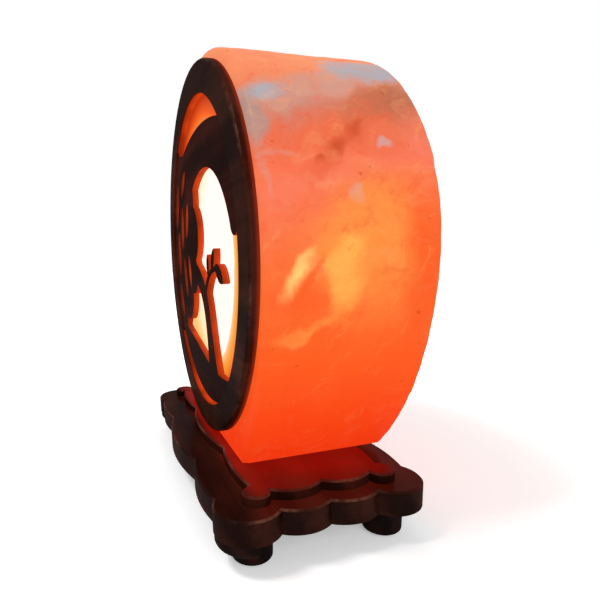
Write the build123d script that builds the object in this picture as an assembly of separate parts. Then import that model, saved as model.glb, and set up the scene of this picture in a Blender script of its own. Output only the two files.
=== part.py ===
"""Salt crystal lamp: a drum of salt with a fretwork front on a two-tier lobed stand.

Frame: X along the width, Y depth with the fretwork facing -Y, Z up, floor at Z = 0.
All sizes in millimetres. Each piece is written as its own STEP file in parts/.
"""
import os
from math import cos, hypot, radians, sqrt

from build123d import *

os.makedirs("parts", exist_ok=True)

# ------------------------------------------------------------------ driving sizes
GAP = 0.3                 # between pieces that move against each other
GLUE_GAP = 0.2            # radial room of a glued seat

# heights of the stand, from the floor up
PAD_T = 1.0
FOOT_H = 14.2
LOWER_T = 11.3
UPPER_T = 4.7

# front ring and fretwork
DRAWN_R = 81.0            # opening that the fretwork is drawn for, scaled to the ring's own
RING_INNER_R = 81.0
RING_W = 14.0             # from the opening out to the ring's outer edge
RING_T = 4.4
RING_EDGE = 1.6           # rounding of the ring's front outer edge
PANEL_T = 3.4             # fretwork thickness, equal to the rebate behind the ring
REBATE_W = 3.6            # how far the rebate reaches outside the ring's opening
RING_FRONT_Y = -32.8      # ring's front face, from the middle of the stand

# salt drum
SALT_MARGIN = 4.8         # how far its upper half reaches outside the ring
RING_LIFT = 1.6           # the ring's lowest point above the stand
SALT_FLAT = 60.0          # half width of the flat underside
SALT_DEPTH = 76.6
SALT_FRONT_EDGE = 3.6     # rounding of the front rim
SALT_BACK_EDGE = 3.0
CHAMBER_R = 57.0          # light chamber, open to the front
CHAMBER_DEPTH = 60.0
CHAMBER_LIP = 2.0
CHAMBER_END = 6.0         # rounding where its wall meets its back
BORE_R = 20.0             # hole for the lamp holder, through stand and salt

# radii and levels that follow
RING_R = RING_INNER_R + RING_W
SALT_R = RING_R + SALT_MARGIN
SALT_DROP = RING_R + RING_LIFT
UNDERSIDE_Z = PAD_T + FOOT_H
LEDGE_Z = UNDERSIDE_Z + LOWER_T
TOP_Z = LEDGE_Z + UPPER_T
CENTRE_Z = TOP_Z + SALT_DROP
SALT_FRONT_Y = RING_FRONT_Y + RING_T
REBATE_R = RING_INNER_R + REBATE_W
PANEL_R = REBATE_R - GLUE_GAP

# stand outline: lobes that swell between notches, the same on opposite sides
LOWER = dict(side_x=96.4, side_swell=3.6, front_y=46.8, front_swell=2.6, mid_swell=5.0,
             mid_x=36.0, corner_x=86.7, corner_y=33.9, corner_r=15.0)
UPPER = dict(side_x=87.2, side_swell=4.2, front_y=31.4, front_swell=2.2, mid_swell=5.0,
             mid_x=36.0, corner_x=86.4, corner_y=29.9, corner_r=6.2)
TIER_EDGE = 0.9           # softened top edges of both tiers
CORD_SLOT_W = 8.0         # slot under the lower tier, the cord's way out at the back
CORD_SLOT_D = 7.0

# feet and fixings
FOOT_X = 84.8
FOOT_Y = 32.0
FOOT_TOP_R = 9.2
FOOT_BOTTOM_R = 9.0
FOOT_EDGE = 1.6
BRACKET_R = 14.6          # half-round moulding of a front foot, under the tier's corner lobe
BRACKET_H = 6.2
BRACKET_EDGE = 3.4        # rounding of its lower edge
PAD_R = 6.0
DOWEL_R = 3.0
DOWEL_IN_FOOT = 5.0
DOWEL_IN_TIER = 7.0
RING_PIN_R = 2.0
RING_PIN_AT = (REBATE_R + RING_R) / 2     # radius of the circle that the ring's pins stand on
RING_PIN_IN_RING = 2.4
RING_PIN_IN_SALT = 10.0
TIER_SCREW_X = 66.0
TIER_SCREW_Y = 24.0
TIER_SCREW_R = 1.6
TIER_SCREW_HEAD_R = 3.2
TIER_SCREW_BITE = 3.2     # how far it reaches into the upper tier
SALT_SCREW_X = 42.0
SALT_SCREW_R = 2.5
SALT_SCREW_HEAD_R = 5.0
SALT_SCREW_HEAD_T = 3.0
SALT_SCREW_SINK = 4.0     # counterbore from the underside
PLUG_R = 4.2
PLUG_L = 25.0
PLUG_END = 3.0            # solid end of the plug, beyond the screw
DRIVE_SLOT = 0.33         # width and depth of a screw's driving slot, in head radii

# lamp holder, hung in the bore
FLANGE_R = 24.0           # flat rim of the end cap, under the stand
FLANGE_T = 2.0
HOLDER_R = 13.4
HOLDER_H = 37.0
HOLDER_CAVITY_R = 11.4    # wiring space under the web
HOLDER_CAVITY_H = 14.0
WEB_T = 2.0
WEB_HOLE_R = 5.0
END_CAP_H = 13.0          # cup above the flange
END_CAP_WALL = 2.0
END_CAP_SEAT = 3.0        # how deep the holder's body stands in the cup
GLAND_R = 3.4
GLAND_BORE_R = 2.5
GLAND_L = 4.0
GLAND_UP = 4.2            # gland's axis above the flange
BLOCK_H = 8.5             # insulating block that carries the terminals
SLEEVE_R = 7.6
SLEEVE_T = 0.5
SLEEVE_L = 15.0
TERMINAL_X = 6.4
TERMINAL_R = 1.5
TERMINAL_HEAD_R = 2.4
TERMINAL_HEAD_T = 1.4
TONGUE_W = 3.0
TONGUE_T = 0.4
TONGUE_RISE = 1.4         # tongue's top above the web

# spring wings that keep the holder in its bore
BAND_T = 0.7
BAND_H = 9.0
BAND_UP = 6.0             # band's lower edge above the end cap
WING_T = 0.6
WING_W = 9.0
WING_PIN_R = 0.6
WING_RISE = 26.0          # leaf's height above its pin
WING_PIN_X = 16.0
WING_PIN_UP = 2.0         # pin above the band's lower edge
WING_BELLY_X = 19.1       # widest point of the leaf
WING_TIP_X = 17.9
EAR_T = 0.8

# bulb
CAP_R = 6.75
CAP_L = 15.5
CAP_WALL = 0.35
THREAD_PITCH = 2.82
THREAD_DEPTH = 0.45
THREAD_TURNS = 4
INSULATOR_H = 1.9
INSULATOR_TIP_R = 3.1
CONTACT_R = 2.1
CONTACT_H = 0.8
GLASS_R = 12.5            # at its belly
GLASS_BELLY_UP = 19.8     # belly's height above the cap
GLASS_SHOULDER_R = 9.8
GLASS_SHOULDER_UP = 34.4
GLASS_L = 43.0            # visible glass above the cap
GLASS_NECK_R = 6.1
GLASS_NECK_UP = 1.0       # straight neck above the cap
GLASS_SEAT = 3.0          # how deep the neck stands in the cap
GLASS_T = 0.7
STEM_R = 2.6
STEM_L = 14.0
LEAD_R = 0.4
LEAD_SUNK = 3.0           # how deep a lead is set in the stem
LEAD_FOOT_X = 1.6
LEAD_SPREAD = 5.0
LEAD_RISE = 12.0
FILAMENT_R = 0.5
FILAMENT_BOW = 3.0        # how far the filament bows up between the leads


# ------------------------------------------------------------------ helpers
def rod(radius, height, x=0.0, y=0.0, z=0.0):
    """Upright cylinder that stands on height z."""
    return Pos(x, y, z) * Cylinder(radius, height, align=(Align.CENTER, Align.CENTER, Align.MIN))


def rod_y(radius, length, x, y, z):
    """Cylinder along +Y that starts at y."""
    lying = Rot(-90, 0, 0) * rod(radius, length)
    return Pos(x, y, z) * lying


def spin(points):
    """Solid of revolution about Z from a closed profile of (radius, height) points."""
    corners = [(r, 0, z) for r, z in points]
    return revolve(make_face(Polyline(*corners, close=True)), Axis.Z)


def upright(face, thickness, y_front):
    """Plate from a face drawn in (X, height about the ring's centre), behind y_front."""
    plate = Rot(90, 0, 0) * extrude(face, amount=thickness)
    return Pos(0, y_front + thickness, CENTRE_Z) * plate


def disc(x, z, radius):
    """Round face in the fretwork's drawing plane."""
    return Pos(x, z) * Circle(radius)


def leaf(x, z, length, width, angle):
    """Leaf-shaped face: two arcs that meet in points."""
    ends = ((-length / 2, 0), (length / 2, 0))
    over = ThreePointArc(ends[0], (0, width / 2), ends[1])
    under = ThreePointArc(ends[1], (0, -width / 2), ends[0])
    return Pos(x, z) * (Rot(0, 0, angle) * make_face(Wire([over, under])))


def four_corners(x, y):
    """The same place in each quarter of the stand."""
    return [(sx * x, sy * y) for sx in (1, -1) for sy in (1, -1)]


def soft_disc(radius, thickness, x, y):
    """Round board with an eased top edge."""
    profile = [(0, 0), (radius, 0), (radius, thickness - TIER_EDGE), (radius - TIER_EDGE, thickness),
               (0, thickness)]
    return Pos(x, y) * spin(profile)


def lobe_radius(chord, swell):
    """Radius of the arc that rises by swell over a chord."""
    return (chord ** 2 / 4 + swell ** 2) / (2 * swell)


def slab(x_low, x_high, y_low, y_high, thickness):
    """Box between four bounds, standing on Z = 0."""
    centre = Pos((x_low + x_high) / 2, (y_low + y_high) / 2)
    return centre * Box(x_high - x_low, y_high - y_low, thickness, align=(Align.CENTER, Align.CENTER, Align.MIN))


def tier(outline, thickness, z):
    """Board with a lobed outline: each lobe is part of a disc, joined to a plain core."""
    cx, cy, r = outline["corner_x"], outline["corner_y"], outline["corner_r"]
    side_x, front_y, mid_x = outline["side_x"], outline["front_y"], outline["mid_x"]
    side_y = cy - sqrt(r ** 2 - (side_x - cx) ** 2)
    front_x = cx - sqrt(r ** 2 - (front_y - cy) ** 2)
    inset = 1.2 * TIER_EDGE
    over = 2.0
    board = slab(inset - side_x, side_x - inset, -cy, cy, thickness)
    board += slab(-cx, cx, inset - front_y, front_y - inset, thickness)

    side_r = lobe_radius(side_y, outline["side_swell"])
    side_cx = side_x + outline["side_swell"] - side_r
    front_r = lobe_radius(front_x - mid_x, outline["front_swell"])
    front_cy = front_y + outline["front_swell"] - front_r
    front_cut = slab(mid_x - over, front_x + over, 0, 2 * front_y, thickness)
    front_lobe = soft_disc(front_r, thickness, (mid_x + front_x) / 2, front_cy) & front_cut
    mid_r = lobe_radius(2 * mid_x, outline["mid_swell"])
    mid_cut = slab(-mid_x - over, mid_x + over, 0, 2 * front_y, thickness)
    mid_lobe = soft_disc(mid_r, thickness, 0, front_y + outline["mid_swell"] - mid_r) & mid_cut

    for sx, sy in four_corners(1, 1):
        board += soft_disc(r, thickness, sx * cx, sy * cy)
        board += soft_disc(side_r, thickness, sx * side_cx, sy * side_y / 2)
        turned = front_lobe if sx > 0 else mirror(front_lobe, Plane.YZ)
        board += turned if sy > 0 else mirror(turned, Plane.XZ)
    board = board + mid_lobe + mirror(mid_lobe, Plane.XZ)
    return Pos(0, 0, z) * board


def save(shape, name):
    """Write one piece under its node's name."""
    shape.label = name
    export_step(shape, f"parts/{name}.step")


# ------------------------------------------------------------------ salt drum
def salt_outline():
    """Upper half round, then flanks that run down wider to the flat underside."""
    reach = SALT_R - SALT_FLAT
    flank_r = (reach ** 2 + SALT_DROP ** 2) / (2 * reach)
    mid_z = -SALT_DROP / 2
    mid_x = SALT_R - flank_r + sqrt(flank_r ** 2 - mid_z ** 2)
    edges = [
        ThreePointArc((SALT_R, 0), (0, SALT_R), (-SALT_R, 0)),
        ThreePointArc((-SALT_R, 0), (-mid_x, mid_z), (-SALT_FLAT, -SALT_DROP)),
        Line((-SALT_FLAT, -SALT_DROP), (SALT_FLAT, -SALT_DROP)),
        ThreePointArc((SALT_FLAT, -SALT_DROP), (mid_x, mid_z), (SALT_R, 0)),
    ]
    return make_face(Wire(edges))


def pin_places():
    """The ring's pins, on the diagonals of the ring: (X, Z)."""
    reach = RING_PIN_AT * cos(radians(45))
    return [(x, CENTRE_Z + z) for x, z in four_corners(reach, reach)]


def salt_drum():
    """Drum with its light chamber, the holder's bore and the holes for plugs and pins."""
    drum = upright(salt_outline(), SALT_DEPTH, SALT_FRONT_Y)
    for side, edge in ((0, SALT_FRONT_EDGE), (-1, SALT_BACK_EDGE)):
        rim = drum.faces().sort_by(Axis.Y)[side].edges().filter_by(GeomType.CIRCLE)
        drum = fillet(rim, edge)
    chamber = rod_y(CHAMBER_R, CHAMBER_DEPTH, 0, SALT_FRONT_Y, CENTRE_Z)
    chamber = fillet(chamber.edges().sort_by(Axis.Y)[-1], CHAMBER_END)
    lip = Pos(0, SALT_FRONT_Y, CENTRE_Z) * (
        Rot(-90, 0, 0) * spin([(0, 0), (CHAMBER_R + CHAMBER_LIP, 0), (CHAMBER_R, CHAMBER_LIP), (0, CHAMBER_LIP)]))
    drum = drum - chamber - lip - rod(BORE_R, SALT_DROP, z=TOP_Z)
    for sx in (1, -1):
        drum -= rod(PLUG_R, PLUG_L, sx * SALT_SCREW_X, 0, TOP_Z)
    for x, z in pin_places():
        drum -= rod_y(RING_PIN_R, RING_PIN_IN_SALT, x, SALT_FRONT_Y, z)
    return drum


# ------------------------------------------------------------------ front ring and fretwork
def front_ring():
    """Flat ring with a rounded front edge and a rebate behind for the fretwork."""
    face = Circle(RING_R) - Circle(RING_INNER_R)
    ring = upright(face, RING_T, RING_FRONT_Y)
    front = ring.faces().sort_by(Axis.Y)[0].edges()
    ring = fillet(front.sort_by(SortBy.RADIUS)[-1], RING_EDGE)
    ring -= rod_y(REBATE_R, PANEL_T, 0, RING_FRONT_Y + RING_T - PANEL_T, CENTRE_Z)
    for x, z in pin_places():
        ring -= rod_y(RING_PIN_R, RING_PIN_IN_RING, x, SALT_FRONT_Y - RING_PIN_IN_RING, z)
    return ring


def fretwork_panel():
    """A windswept tree sawn from one thin board: crown, bough, trunk, twig and mound."""
    # long bough that bends over the light to the right and ends in a round tip
    bough = disc(8, -110, 175) - disc(18, -11, 55)
    bough = bough & (Pos(20, 48) * Rectangle(128, 70))
    bough += disc(73.5, 14.5, 6.2)

    # leafy crown on the windward side, scalloped like a cloud
    crown = disc(-62, 44, 27) + disc(-40, 42, 20) + disc(-25, 34, 18) + disc(-14, 14, 16)
    crown += disc(-60, 10, 32) + disc(-30, 2, 22) + disc(-62, -24, 24) + disc(-36, -20, 17)
    crown += disc(-16, -8, 12)

    # trunk that leans with the wind, from the mound up into the crown
    lee = Spline((38, -62), (29, -46), (23, -30), (18, -19), (9, -10), (-8, -2))
    weather = Spline((-20, -14), (-2, -16), (8, -26), (13, -40), (16, -62))
    foot_line = Line((16, -62), (38, -62))
    top = Line((-8, -2), (-20, -14))
    trunk = make_face(Wire([lee, top, weather, foot_line]))

    # twig towards the light, with three leaves
    twig = make_face(Wire([
        Spline((13, -16), (24, -7), (40, -4)),
        Line((40, -4), (40.5, -6.4)),
        Spline((40.5, -6.4), (25, -10.5), (17, -19)),
        Line((17, -19), (13, -16)),
    ]))
    twig += leaf(45, -7.5, 17, 7.5, -28) + leaf(33, -1.0, 13, 6.0, 58) + leaf(22, -4.0, 12, 5.5, 92)

    # mound with a crescent of light under it that tapers away to the right
    slope = Spline((-84, -20), (-52, -40), (-16, -49), (22, -57), (64, -55))
    ground = make_face(Wire([slope, Line((64, -55), (64, -90)), Line((64, -90), (-84, -90)),
                             Line((-84, -90), (-84, -20))]))
    mound = ground & disc(11.7, 16.7, 92.9)

    wood = bough + crown + trunk + twig + mound

    # leaf-shaped slots in the crown
    for slot in ((-60, 34, 30, 9.0, 62), (-45, 20, 27, 8.5, 78), (-61, 4, 30, 9.0, 84),
                 (-42, -11, 26, 8.0, 104), (-60, -26, 24, 7.5, 112), (-29, 23, 22, 7.0, 66),
                 (-27, -7, 20, 6.5, 100), (-36, 45, 20, 6.0, 40)):
        wood -= leaf(*slot)

    # to size, then a rim that lies in the rebate, just clear of the ring's opening
    wood = scale(wood, by=RING_INNER_R / DRAWN_R) & disc(0, 0, PANEL_R)
    wood += disc(0, 0, PANEL_R) - disc(0, 0, RING_INNER_R + GAP)
    return upright(wood, PANEL_T, SALT_FRONT_Y - PANEL_T)


def ring_pins():
    """Wooden pins between ring and salt, all alike."""
    length = RING_PIN_IN_RING + RING_PIN_IN_SALT
    start = SALT_FRONT_Y - RING_PIN_IN_RING
    return Compound(children=[rod_y(RING_PIN_R, length, x, start, z) for x, z in pin_places()])


# ------------------------------------------------------------------ stand
def upper_tier():
    """Thin board that the salt stands on."""
    board = tier(UPPER, UPPER_T, LEDGE_Z) - rod(BORE_R, UPPER_T, z=LEDGE_Z)
    for x, y in four_corners(TIER_SCREW_X, TIER_SCREW_Y):
        board -= rod(TIER_SCREW_R, TIER_SCREW_BITE, x, y, LEDGE_Z)
    for sx in (1, -1):
        board -= rod(SALT_SCREW_R, UPPER_T, sx * SALT_SCREW_X, 0, LEDGE_Z)
    return board


def lower_tier():
    """Thick board with the holder's bore, the cord's slot and all holes from below."""
    board = tier(LOWER, LOWER_T, UNDERSIDE_Z) - rod(BORE_R, LOWER_T, z=UNDERSIDE_Z)
    slot_end = LOWER["front_y"] + LOWER["mid_swell"]
    slot = Box(CORD_SLOT_W, slot_end, CORD_SLOT_D, align=(Align.CENTER, Align.MIN, Align.MIN))
    board -= Pos(0, 0, UNDERSIDE_Z) * slot
    for x, y in four_corners(TIER_SCREW_X, TIER_SCREW_Y):
        board -= Pos(x, y, UNDERSIDE_Z) * tier_screw_shape()
    for sx in (1, -1):
        x = sx * SALT_SCREW_X
        board -= rod(SALT_SCREW_HEAD_R + GLUE_GAP, SALT_SCREW_SINK, x, 0, UNDERSIDE_Z)
        board -= rod(SALT_SCREW_R, LOWER_T, x, 0, UNDERSIDE_Z)
    for x, y in four_corners(FOOT_X, FOOT_Y):
        board -= rod(DOWEL_R, DOWEL_IN_TIER, x, y, UNDERSIDE_Z)
    return board


def bracket():
    """Half-round moulding, flat behind, with a rounded lower edge."""
    whole = fillet(rod(BRACKET_R, BRACKET_H).edges().group_by(Axis.Z)[0], BRACKET_EDGE)
    return whole & slab(-BRACKET_R, BRACKET_R, -BRACKET_R, 0, BRACKET_H)


def foot(x, y):
    """Round wooden foot with a blind hole for its dowel; a front one carries a bracket."""
    body = spin([(0, 0), (FOOT_BOTTOM_R, 0), (FOOT_TOP_R, FOOT_H), (0, FOOT_H)])
    body = fillet(body.edges().group_by(Axis.Z)[0], FOOT_EDGE)
    if y < 0:
        outwards = LOWER["corner_x"] - FOOT_X
        forwards = LOWER["corner_y"] - FOOT_Y
        body += Pos(outwards if x > 0 else -outwards, -forwards, FOOT_H - BRACKET_H) * bracket()
    body -= rod(DOWEL_R, DOWEL_IN_FOOT, z=FOOT_H - DOWEL_IN_FOOT)
    return Pos(x, y, PAD_T) * body


def tier_screw_shape():
    """Countersunk wood screw, head down, its face on Z = 0."""
    cone = TIER_SCREW_HEAD_R - TIER_SCREW_R
    length = LOWER_T + TIER_SCREW_BITE
    return spin([(0, 0), (TIER_SCREW_HEAD_R, 0), (TIER_SCREW_R, cone), (TIER_SCREW_R, length), (0, length)])


def salt_screw_shape():
    """Pan-head screw, head down, its face on Z = 0."""
    length = SALT_SCREW_HEAD_T + LOWER_T - SALT_SCREW_SINK + UPPER_T + PLUG_L - PLUG_END
    points = [(0, 0), (SALT_SCREW_HEAD_R, 0), (SALT_SCREW_HEAD_R, SALT_SCREW_HEAD_T),
              (SALT_SCREW_R, SALT_SCREW_HEAD_T), (SALT_SCREW_R, length), (0, length)]
    return spin(points)


def slotted(screw, radius):
    """Screw with a straight driving slot across its head, head face on Z = 0."""
    width = DRIVE_SLOT * radius
    return screw - slab(-radius, radius, -width / 2, width / 2, width)


def tier_screws():
    """Four screws that hold the tiers together from below."""
    screw = slotted(tier_screw_shape(), TIER_SCREW_HEAD_R)
    places = four_corners(TIER_SCREW_X, TIER_SCREW_Y)
    return Compound(children=[Pos(x, y, UNDERSIDE_Z) * screw for x, y in places])


def salt_screws():
    """Two screws that hold the salt on the stand."""
    screw = slotted(salt_screw_shape(), SALT_SCREW_HEAD_R)
    z = UNDERSIDE_Z + SALT_SCREW_SINK - SALT_SCREW_HEAD_T
    return Compound(children=[Pos(sx * SALT_SCREW_X, 0, z) * screw for sx in (1, -1)])


def salt_plugs():
    """Two plugs set in the salt, which take the screws."""
    plug = rod(PLUG_R, PLUG_L) - rod(SALT_SCREW_R, PLUG_L - PLUG_END)
    return Compound(children=[Pos(sx * SALT_SCREW_X, 0, TOP_Z) * plug for sx in (1, -1)])


# ------------------------------------------------------------------ lamp holder
FLANGE_TOP_Z = UNDERSIDE_Z - GAP
END_CAP_TOP_Z = FLANGE_TOP_Z + END_CAP_H
HOLDER_Z = END_CAP_TOP_Z - END_CAP_SEAT
WEB_Z = HOLDER_Z + HOLDER_CAVITY_H
SLEEVE_Z = WEB_Z + WEB_T
CUP_R = HOLDER_R + GLUE_GAP + END_CAP_WALL


def end_cap():
    """Cup with a flat rim that rests under the stand and closes the bore."""
    cup = rod(FLANGE_R, FLANGE_T, z=FLANGE_TOP_Z - FLANGE_T) + rod(CUP_R, END_CAP_H, z=FLANGE_TOP_Z)
    cup -= rod(HOLDER_CAVITY_R, END_CAP_H, z=FLANGE_TOP_Z)
    cup -= rod(HOLDER_R + GLUE_GAP, END_CAP_SEAT, z=HOLDER_Z)
    return cup - rod_y(GLAND_R, CUP_R, 0, 0, FLANGE_TOP_Z + GLAND_UP)


def cord_gland():
    """Soft bush in the cup's side, the cord's inlet."""
    y = CUP_R - GLAND_L + GAP
    z = FLANGE_TOP_Z + GLAND_UP
    bush = rod_y(GLAND_R, GLAND_L, 0, y, z) - rod_y(GLAND_BORE_R, GLAND_L, 0, y, z)
    return bush - rod(HOLDER_CAVITY_R, END_CAP_H, z=FLANGE_TOP_Z)


def holder_body():
    """Plastic body: wiring space below a web, the bulb's bore above it."""
    body = rod(HOLDER_R, HOLDER_H, z=HOLDER_Z)
    body -= rod(HOLDER_CAVITY_R, HOLDER_CAVITY_H, z=HOLDER_Z)
    body -= rod(WEB_HOLE_R, WEB_T, z=WEB_Z)
    return body - rod(SLEEVE_R, HOLDER_H, z=SLEEVE_Z)


def terminal_block():
    """Insulating block under the web, drilled for the terminals."""
    z = WEB_Z - BLOCK_H
    block = rod(HOLDER_CAVITY_R - GLUE_GAP, BLOCK_H, z=z)
    for sx in (1, -1):
        block -= rod(TERMINAL_R, BLOCK_H, sx * TERMINAL_X, 0, z)
    block -= Pos(0, 0, z) * Box(TONGUE_W, TONGUE_T, BLOCK_H, align=(Align.CENTER, Align.CENTER, Align.MIN))
    return block


def terminal_screws():
    """Two screws up into the block from the wiring space."""
    z = WEB_Z - BLOCK_H - TERMINAL_HEAD_T
    length = TERMINAL_HEAD_T + BLOCK_H - 2 * GLUE_GAP
    points = [(0, 0), (TERMINAL_HEAD_R, 0), (TERMINAL_HEAD_R, TERMINAL_HEAD_T),
              (TERMINAL_R, TERMINAL_HEAD_T), (TERMINAL_R, length), (0, length)]
    screw = slotted(spin(points), TERMINAL_HEAD_R)
    return Compound(children=[Pos(sx * TERMINAL_X, 0, z) * screw for sx in (1, -1)])


def centre_contact():
    """Bent strip that rises through the block and bears on the bulb's contact."""
    foot_z = WEB_Z - BLOCK_H
    top_z = SLEEVE_Z + TONGUE_RISE
    post = Pos(0, 0, foot_z) * Box(TONGUE_W, TONGUE_T, top_z - foot_z,
                                   align=(Align.CENTER, Align.CENTER, Align.MIN))
    pad = Pos(0, 0, top_z - TONGUE_T) * Box(TONGUE_W, TONGUE_W, TONGUE_T,
                                            align=(Align.CENTER, Align.MIN, Align.MIN))
    return post + pad


def threaded_sleeve():
    """Brass shell that the bulb screws into; its bore is drawn wide of the bulb's crests."""
    inner = SLEEVE_R - SLEEVE_T
    return rod(SLEEVE_R, SLEEVE_L, z=SLEEVE_Z) - rod(inner, SLEEVE_L, z=SLEEVE_Z)


# ------------------------------------------------------------------ spring wings
BAND_Z = END_CAP_TOP_Z + BAND_UP
WING_PIN_Z = BAND_Z + WING_PIN_UP
WING_EYE_R = WING_PIN_R + GAP + WING_T


def wing_band():
    """Steel band round the holder, with a pair of ears on either side."""
    band = rod(HOLDER_R + BAND_T, BAND_H, z=BAND_Z)
    ear_h = 2 * WING_EYE_R
    for sx in (1, -1):
        for sy in (1, -1):
            y = sy * (WING_W / 2 + GAP + EAR_T / 2)
            ear = Box(WING_PIN_X + WING_PIN_R + EAR_T / 2, EAR_T, ear_h,
                      align=(Align.MIN, Align.CENTER, Align.CENTER))
            band += Pos(0, y, WING_PIN_Z) * (Rot(0, 0, 0 if sx > 0 else 180) * ear)
    band -= rod(HOLDER_R, BAND_H + ear_h, z=BAND_Z - ear_h / 2)
    for sx in (1, -1):
        band -= wing_pin(sx)
    return band


def wing_pin(sx):
    """One pin through a pair of ears."""
    length = WING_W + 2 * GAP + 2 * EAR_T
    return rod_y(WING_PIN_R, length, sx * WING_PIN_X, -length / 2, WING_PIN_Z)


def wing_pins():
    """Both pins."""
    return Compound(children=[wing_pin(1), wing_pin(-1)])


def spring_wing(sx):
    """Bowed leaf with an eye round its pin; belly and tip press outwards."""
    base = (WING_PIN_X + WING_EYE_R, WING_PIN_Z)
    belly = (WING_BELLY_X, WING_PIN_Z + WING_RISE / 2)
    tip = (WING_TIP_X, WING_PIN_Z + WING_RISE)
    outer = [(x, 0, z) for x, z in (base, belly, tip)]
    inner = [(x - WING_T, 0, z) for x, z in (tip, belly, base)]
    face = make_face(Wire([
        ThreePointArc(*outer), Line(outer[2], inner[0]), ThreePointArc(*inner), Line(inner[2], outer[0])]))
    blade = extrude(face, amount=WING_W / 2, both=True)
    eye = rod_y(WING_EYE_R, WING_W, WING_PIN_X, -WING_W / 2, WING_PIN_Z)
    wing = blade + eye - rod_y(WING_PIN_R + GAP, WING_W, WING_PIN_X, -WING_W / 2, WING_PIN_Z)
    return wing if sx > 0 else mirror(wing, Plane.YZ)


# ------------------------------------------------------------------ bulb
CONTACT_Z = SLEEVE_Z + TONGUE_RISE + GAP
INSULATOR_Z = CONTACT_Z + CONTACT_H
CAP_Z = INSULATOR_Z + INSULATOR_H
CAP_TOP_Z = CAP_Z + CAP_L
GLASS_FOOT_Z = CAP_TOP_Z - GLASS_SEAT
STEM_TOP_Z = GLASS_FOOT_Z + STEM_L


def bulb_contact():
    """Small metal button under the insulator."""
    return rod(CONTACT_R, CONTACT_H, z=CONTACT_Z)


def bulb_insulator():
    """Dark cone between the contact and the cap."""
    seat_r = CAP_R - THREAD_DEPTH - CAP_WALL
    return spin([(0, INSULATOR_Z), (INSULATOR_TIP_R, INSULATOR_Z), (seat_r, CAP_Z), (0, CAP_Z)])


def thread_points(radius, bottom):
    """Profile points up a threaded wall: crests and roots of the thread in section."""
    points = []
    for turn in range(THREAD_TURNS):
        base = bottom + turn * THREAD_PITCH
        points.append((radius, base))
        points.append((radius, base + THREAD_PITCH / 4))
        points.append((radius - THREAD_DEPTH, base + THREAD_PITCH / 2))
        points.append((radius - THREAD_DEPTH, base + 3 * THREAD_PITCH / 4))
    points.append((radius, bottom + THREAD_TURNS * THREAD_PITCH))
    return points


def bulb_cap():
    """Thin metal cap with a rounded thread, open above for the glass."""
    wall = thread_points(CAP_R, CAP_Z + CAP_WALL)
    inner = CAP_R - THREAD_DEPTH - CAP_WALL
    profile = [(0, CAP_Z), (CAP_R - THREAD_DEPTH, CAP_Z)] + wall
    profile += [(CAP_R, CAP_TOP_Z), (inner, CAP_TOP_Z), (inner, CAP_Z + CAP_WALL), (0, CAP_Z + CAP_WALL)]
    return spin(profile)


def glass_side(shrink):
    """Right-hand edge of the glass in section, moved inwards by shrink."""
    neck = GLASS_NECK_R - GLUE_GAP - shrink
    return [(neck, 0, GLASS_FOOT_Z), (neck, 0, CAP_TOP_Z + GLASS_NECK_UP),
            (GLASS_R - shrink, 0, CAP_TOP_Z + GLASS_BELLY_UP),
            (GLASS_SHOULDER_R - shrink, 0, CAP_TOP_Z + GLASS_SHOULDER_UP),
            (0, 0, CAP_TOP_Z + GLASS_L - shrink)]


def bulb_glass():
    """Hollow pear of thin glass, its neck standing in the cap."""
    shells = []
    for shrink in (0.0, GLASS_T):
        side = glass_side(shrink)
        curve = Spline(*side[1:], tangents=[(0, 0, 1), (-1, 0, 0)])
        neck = Line(side[0], side[1])
        foot_line = Line((0, 0, side[0][2]), side[0])
        axis = Line(side[-1], (0, 0, side[0][2]))
        shells.append(revolve(make_face(Wire([foot_line, neck, curve, axis])), Axis.Z))
    return shells[0] - shells[1]


def bulb_stem():
    """Glass stem on the bulb's axis, from a disc that closes the neck."""
    disc_r = GLASS_NECK_R - GLUE_GAP - GLASS_T
    stem = rod(disc_r, GLASS_T, z=GLASS_FOOT_Z) + rod(STEM_R, STEM_L, z=GLASS_FOOT_Z)
    for sx in (1, -1):
        stem -= rod(LEAD_R, LEAD_SUNK, sx * LEAD_FOOT_X, 0, STEM_TOP_Z - LEAD_SUNK)
    return stem


def bulb_leads():
    """Two wires that spread from the stem and carry the filament."""
    leads = []
    for sx in (1, -1):
        knee = (sx * LEAD_FOOT_X, 0, STEM_TOP_Z)
        straight = rod(LEAD_R, LEAD_SUNK, sx * LEAD_FOOT_X, 0, STEM_TOP_Z - LEAD_SUNK)
        run = (sx * (LEAD_SPREAD - LEAD_FOOT_X), 0, LEAD_RISE)
        leaning = Plane(origin=knee, z_dir=run) * rod(LEAD_R, hypot(run[0], run[2]))
        leads.append(straight + Pos(knee) * Sphere(LEAD_R) + leaning)
    return Compound(children=leads)


def bulb_filament():
    """Coil drawn as one smooth bow between the leads."""
    level = STEM_TOP_Z + LEAD_RISE
    start = (-LEAD_SPREAD, 0, level)
    path = ThreePointArc(start, (0, 0, level + FILAMENT_BOW), (LEAD_SPREAD, 0, level))
    section = Plane(origin=start, z_dir=path.tangent_at(0)) * Circle(FILAMENT_R)
    coil = sweep(section, path)
    for lead in bulb_leads().solids():
        coil -= lead
    return coil


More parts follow.
